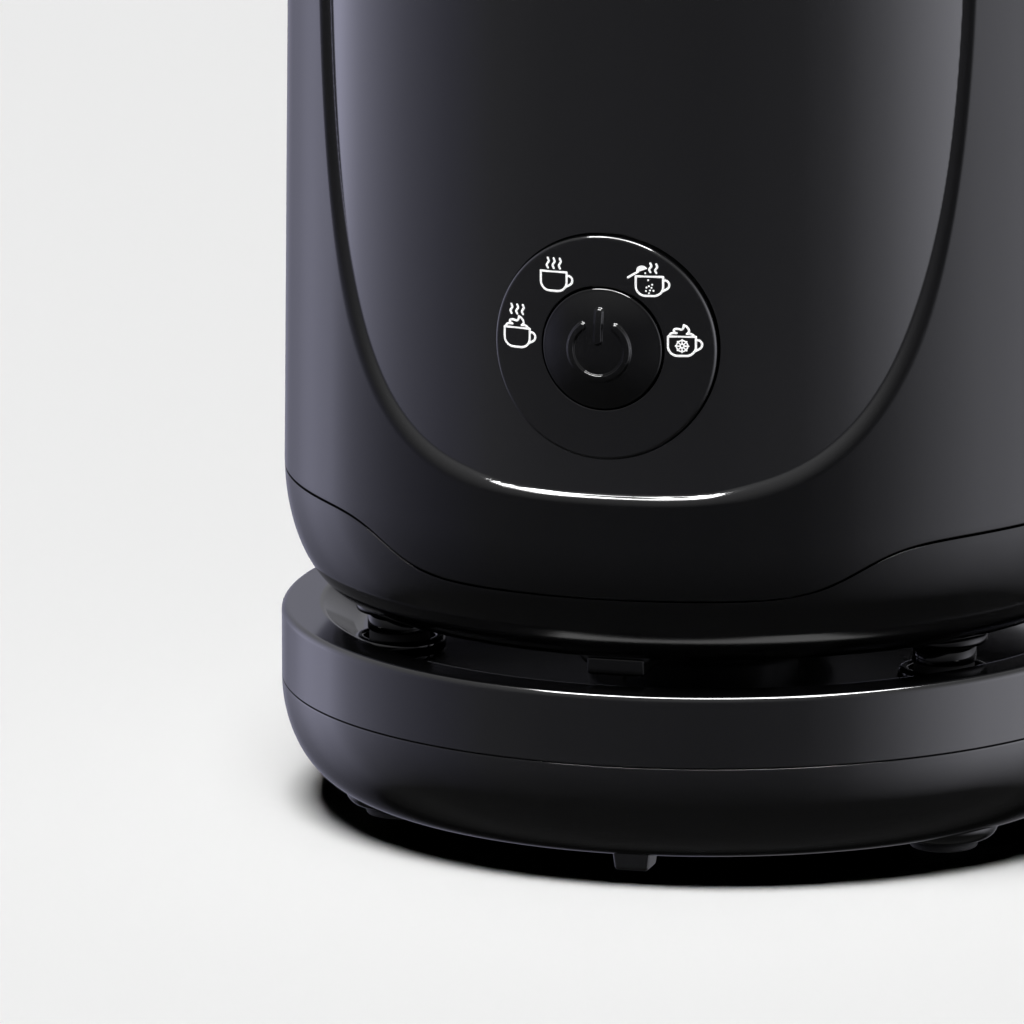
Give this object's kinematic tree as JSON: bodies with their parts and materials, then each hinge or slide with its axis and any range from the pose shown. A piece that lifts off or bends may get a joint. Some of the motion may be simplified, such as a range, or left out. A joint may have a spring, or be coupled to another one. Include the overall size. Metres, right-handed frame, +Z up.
{
  "type": "milk frother",
  "caption": "Round black milk frother: heated jug with recessed front panel, ring of controls, whisk, lid and rear handle, lifting off a corded power base.",
  "frame": {"origin": "on the power base's axis, at the table", "axes": "+Z up along the axis of base and jug, controls and pouring spout towards -Y, handle towards +Y"},
  "size_m": [0.12, 0.166, 0.2002],
  "materials": {
    "base_black": "satin",
    "jug_black": "satin",
    "collar_black": "satin",
    "grip_black": "soft touch",
    "ring_black": "satin",
    "button_black": "semi-gloss",
    "rubber": "matt",
    "silicone": "matt",
    "gland_rubber": "matt",
    "connector_black": "matt",
    "contact_brass": "polished",
    "screw_steel": "zinc plated",
    "cup_steel": "brushed",
    "motor_steel": "plated",
    "heater_aluminium": "as cast",
    "element_metal": "oxidised",
    "sensor_metal": "plated",
    "magnet_metal": "nickel plated",
    "winding_copper": "enamelled wire",
    "carrier_white": "matt",
    "board_green": "solder mask",
    "led_clear": "gloss",
    "whisk_black": "satin",
    "whisk_steel": "polished",
    "lid_black": "satin",
    "lid_clear": "smoked, clear"
  },
  "bodies": {
    "power_base": {"base_top_cover": "base_black", "base_bottom_cover": "base_black", "base_connector": "connector_black", "base_contacts": "contact_brass", "base_foot_pads": "rubber", "base_screws": "screw_steel", "cord_gland": "gland_rubber", "cord_clamp": "connector_black", "clamp_screws": "screw_steel", "base_connector_screws": "screw_steel"},
    "jug": {"jug_lower_shell": "jug_black", "jug_foot_pads": "rubber", "jug_screws": "screw_steel", "jug_shell": "jug_black", "jug_connector": "connector_black", "jug_contacts": "contact_brass", "jug_connector_screws": "screw_steel", "rim_collar": "collar_black", "inner_cup": "cup_steel", "cup_gasket": "silicone", "whisk_spindle": "cup_steel", "heater_plate": "heater_aluminium", "heater_element": "element_metal", "temperature_sensor": "sensor_metal", "thermal_fuse": "sensor_metal", "motor_bracket": "motor_steel", "bracket_screws": "screw_steel", "motor_can": "motor_steel", "motor_end_cap": "connector_black", "field_magnets": "magnet_metal", "motor_bushes": "contact_brass", "power_board": "board_green", "power_board_screws": "screw_steel", "control_ring": "ring_black", "mode_board": "board_green", "mode_board_screws": "screw_steel", "mode_leds": "led_clear", "tact_switch": "connector_black", "handle_shell": "collar_black", "handle_grip": "grip_black", "handle_screws": "screw_steel"},
    "power_button": {"power_button": "button_black", "switch_plunger": "carrier_white"},
    "drive_rotor": {"motor_shaft": "motor_steel", "armature": "winding_copper", "magnet_carrier": "carrier_white", "drive_magnets": "magnet_metal"},
    "whisk": {"whisk_hub": "whisk_black", "whisk_coil": "whisk_steel", "whisk_magnets": "magnet_metal"},
    "lid": {"lid_frame": "lid_black", "lid_window": "lid_clear", "lid_seal": "silicone"},
    "powder_cap": {"powder_cap": "lid_black", "cap_seal": "silicone"}
  },
  "joints": [
    {"name": "jug_lift", "type": "slide", "parent": "power_base", "child": "jug", "axis": [0, 0, 1], "range_m": [0, 0.08]},
    {"name": "button_press", "type": "slide", "parent": "jug", "child": "power_button", "axis": [0, 1, 0], "range_m": [0, 0.0008], "stiffness_N_per_m": 1500, "springref_m": -0.001},
    {"name": "drive_spin", "type": "hinge", "parent": "jug", "child": "drive_rotor", "pos_m": [0, 0, 0.05], "axis": [0, 0, 1], "continuous": true},
    {"name": "whisk_spin", "type": "hinge", "parent": "jug", "child": "whisk", "pos_m": [0, 0, 0.07], "axis": [0, 0, 1], "continuous": true},
    {"name": "lid_lift", "type": "slide", "parent": "jug", "child": "lid", "axis": [0, 0, 1], "range_m": [0, 0.05]},
    {"name": "cap_lift", "type": "slide", "parent": "lid", "child": "powder_cap", "axis": [0, 0, 1], "range_m": [0, 0.03]}
  ],
  "couplings": [
    {"joint": "whisk_spin", "follows": "drive_spin", "ratio": 1}
  ]
}
